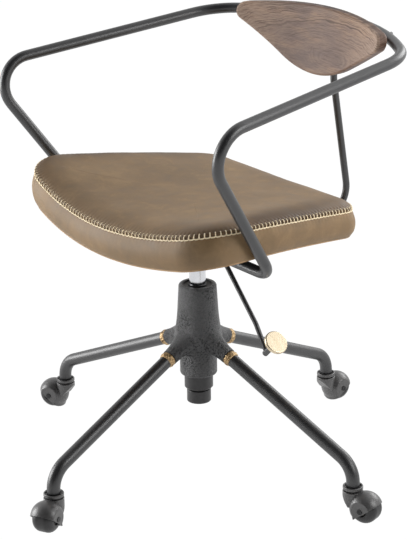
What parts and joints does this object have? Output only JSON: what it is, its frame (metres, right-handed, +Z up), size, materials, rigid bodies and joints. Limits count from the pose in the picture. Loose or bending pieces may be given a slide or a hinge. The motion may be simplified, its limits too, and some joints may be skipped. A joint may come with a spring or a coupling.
{
  "type": "swivel office armchair",
  "caption": "Swivel office armchair with a dished leather seat, one bent tube for arms and back rail, a curved wooden backrest, a gas lift with side lever and hooded ball casters.",
  "frame": {"origin": "on the floor under the column axis", "axes": "+Z up, the sitter faces -Y, +X towards the sitter's left hand and the lever"},
  "size_m": [0.7602, 0.7608, 0.7504],
  "materials": {
    "leather": "worn satin",
    "foam": "open cell foam",
    "plywood": "moulded plywood",
    "lining": "woven dust cloth",
    "walnut": "oiled grain",
    "tube_paint": "satin powder coat",
    "hub_casting": "coarse cast, dark",
    "braze": "raw brazed bead",
    "brass": "brushed",
    "chrome": "polished",
    "steel": "plain",
    "plastic": "moulded",
    "hood_metal": "satin bronze grey",
    "wheel_tread": "smooth"
  },
  "bodies": {
    "base": {"base_hub": "hub_casting", "leg_left": "tube_paint", "leg_rear": "tube_paint", "leg_right": "tube_paint", "leg_front": "tube_paint", "weld_beads": "braze", "leg_collars": "hood_metal", "stem_sockets": "plastic", "stand_tube": "tube_paint", "column_cap": "plastic", "guide_bush": "plastic", "thrust_race_lower": "steel"},
    "column": {"piston_rod": "steel", "piston": "plastic", "retaining_clip": "steel", "thrust_balls": "steel", "thrust_race_upper": "steel"},
    "seat": {"gas_cylinder": "chrome", "cylinder_gland": "plastic", "mechanism_housing": "tube_paint", "taper_socket": "steel", "seat_plate": "tube_paint", "pivot_pin": "steel", "plate_bolts": "steel", "seat_board": "plywood", "seat_foam": "foam", "seat_cover": "leather", "dust_cover": "lining", "arm_frame": "tube_paint", "back_rod": "tube_paint", "backrest": "walnut", "back_spacers": "steel", "backrest_screws": "steel"},
    "lever": {"lever_rod": "tube_paint", "lever_stub": "tube_paint", "lever_knob": "brass"},
    "release": {"release_pin": "steel"},
    "caster_left": {"caster_hood_left": "hood_metal", "caster_stem_left": "steel", "caster_axle_left": "steel"},
    "wheel_left": {"caster_wheel_left": "wheel_tread"},
    "caster_rear": {"caster_hood_rear": "hood_metal", "caster_stem_rear": "steel", "caster_axle_rear": "steel"},
    "wheel_rear": {"caster_wheel_rear": "wheel_tread"},
    "caster_right": {"caster_hood_right": "hood_metal", "caster_stem_right": "steel", "caster_axle_right": "steel"},
    "wheel_right": {"caster_wheel_right": "wheel_tread"},
    "caster_front": {"caster_hood_front": "hood_metal", "caster_stem_front": "steel", "caster_axle_front": "steel"},
    "wheel_front": {"caster_wheel_front": "wheel_tread"}
  },
  "joints": [
    {"name": "seat_swivel", "type": "hinge", "parent": "base", "child": "column", "pos_m": [0, 0, 0.2], "axis": [0, 0, 1], "continuous": true},
    {"name": "height_slide", "type": "slide", "parent": "column", "child": "seat", "axis": [0, 0, 1], "range_m": [-0.048, 0.06]},
    {"name": "lever_pivot", "type": "hinge", "parent": "seat", "child": "lever", "pos_m": [0.03, 0, 0.412], "axis": [0, -1, 0], "range_deg": [0, 6], "stiffness_Nm_per_rad": 1},
    {"name": "release_slide", "type": "slide", "parent": "seat", "child": "release", "axis": [0, 0, -1], "range_m": [0, 0.0035]},
    {"name": "caster_swivel_left", "type": "hinge", "parent": "base", "child": "caster_left", "pos_m": [0.33223, 0.06218, 0.055], "axis": [0, 0, 1], "continuous": true},
    {"name": "wheel_spin_left", "type": "hinge", "parent": "caster_left", "child": "wheel_left", "pos_m": [0.35553, 0.07038, 0.024], "axis": [-0.3322, 0.9432, 0], "continuous": true},
    {"name": "caster_swivel_rear", "type": "hinge", "parent": "base", "child": "caster_rear", "pos_m": [-0.06218, 0.33223, 0.055], "axis": [0, 0, 1], "continuous": true},
    {"name": "wheel_spin_rear", "type": "hinge", "parent": "caster_rear", "child": "wheel_rear", "pos_m": [-0.06291, 0.35692, 0.024], "axis": [-0.9996, -0.0297, 0], "continuous": true},
    {"name": "caster_swivel_right", "type": "hinge", "parent": "base", "child": "caster_right", "pos_m": [-0.33223, -0.06218, 0.055], "axis": [0, 0, 1], "continuous": true},
    {"name": "wheel_spin_right", "type": "hinge", "parent": "caster_right", "child": "wheel_right", "pos_m": [-0.3541, -0.07366, 0.024], "axis": [0.4648, -0.8854, 0], "continuous": true},
    {"name": "caster_swivel_front", "type": "hinge", "parent": "base", "child": "caster_front", "pos_m": [0.06218, -0.33223, 0.055], "axis": [0, 0, 1], "continuous": true},
    {"name": "wheel_spin_front", "type": "hinge", "parent": "caster_front", "child": "wheel_front", "pos_m": [0.07408, -0.35388, 0.024], "axis": [0.8763, 0.4818, 0], "continuous": true}
  ],
  "couplings": [
    {"joint": "release_slide", "follows": "lever_pivot", "m_per_rad": 0.03}
  ]
}
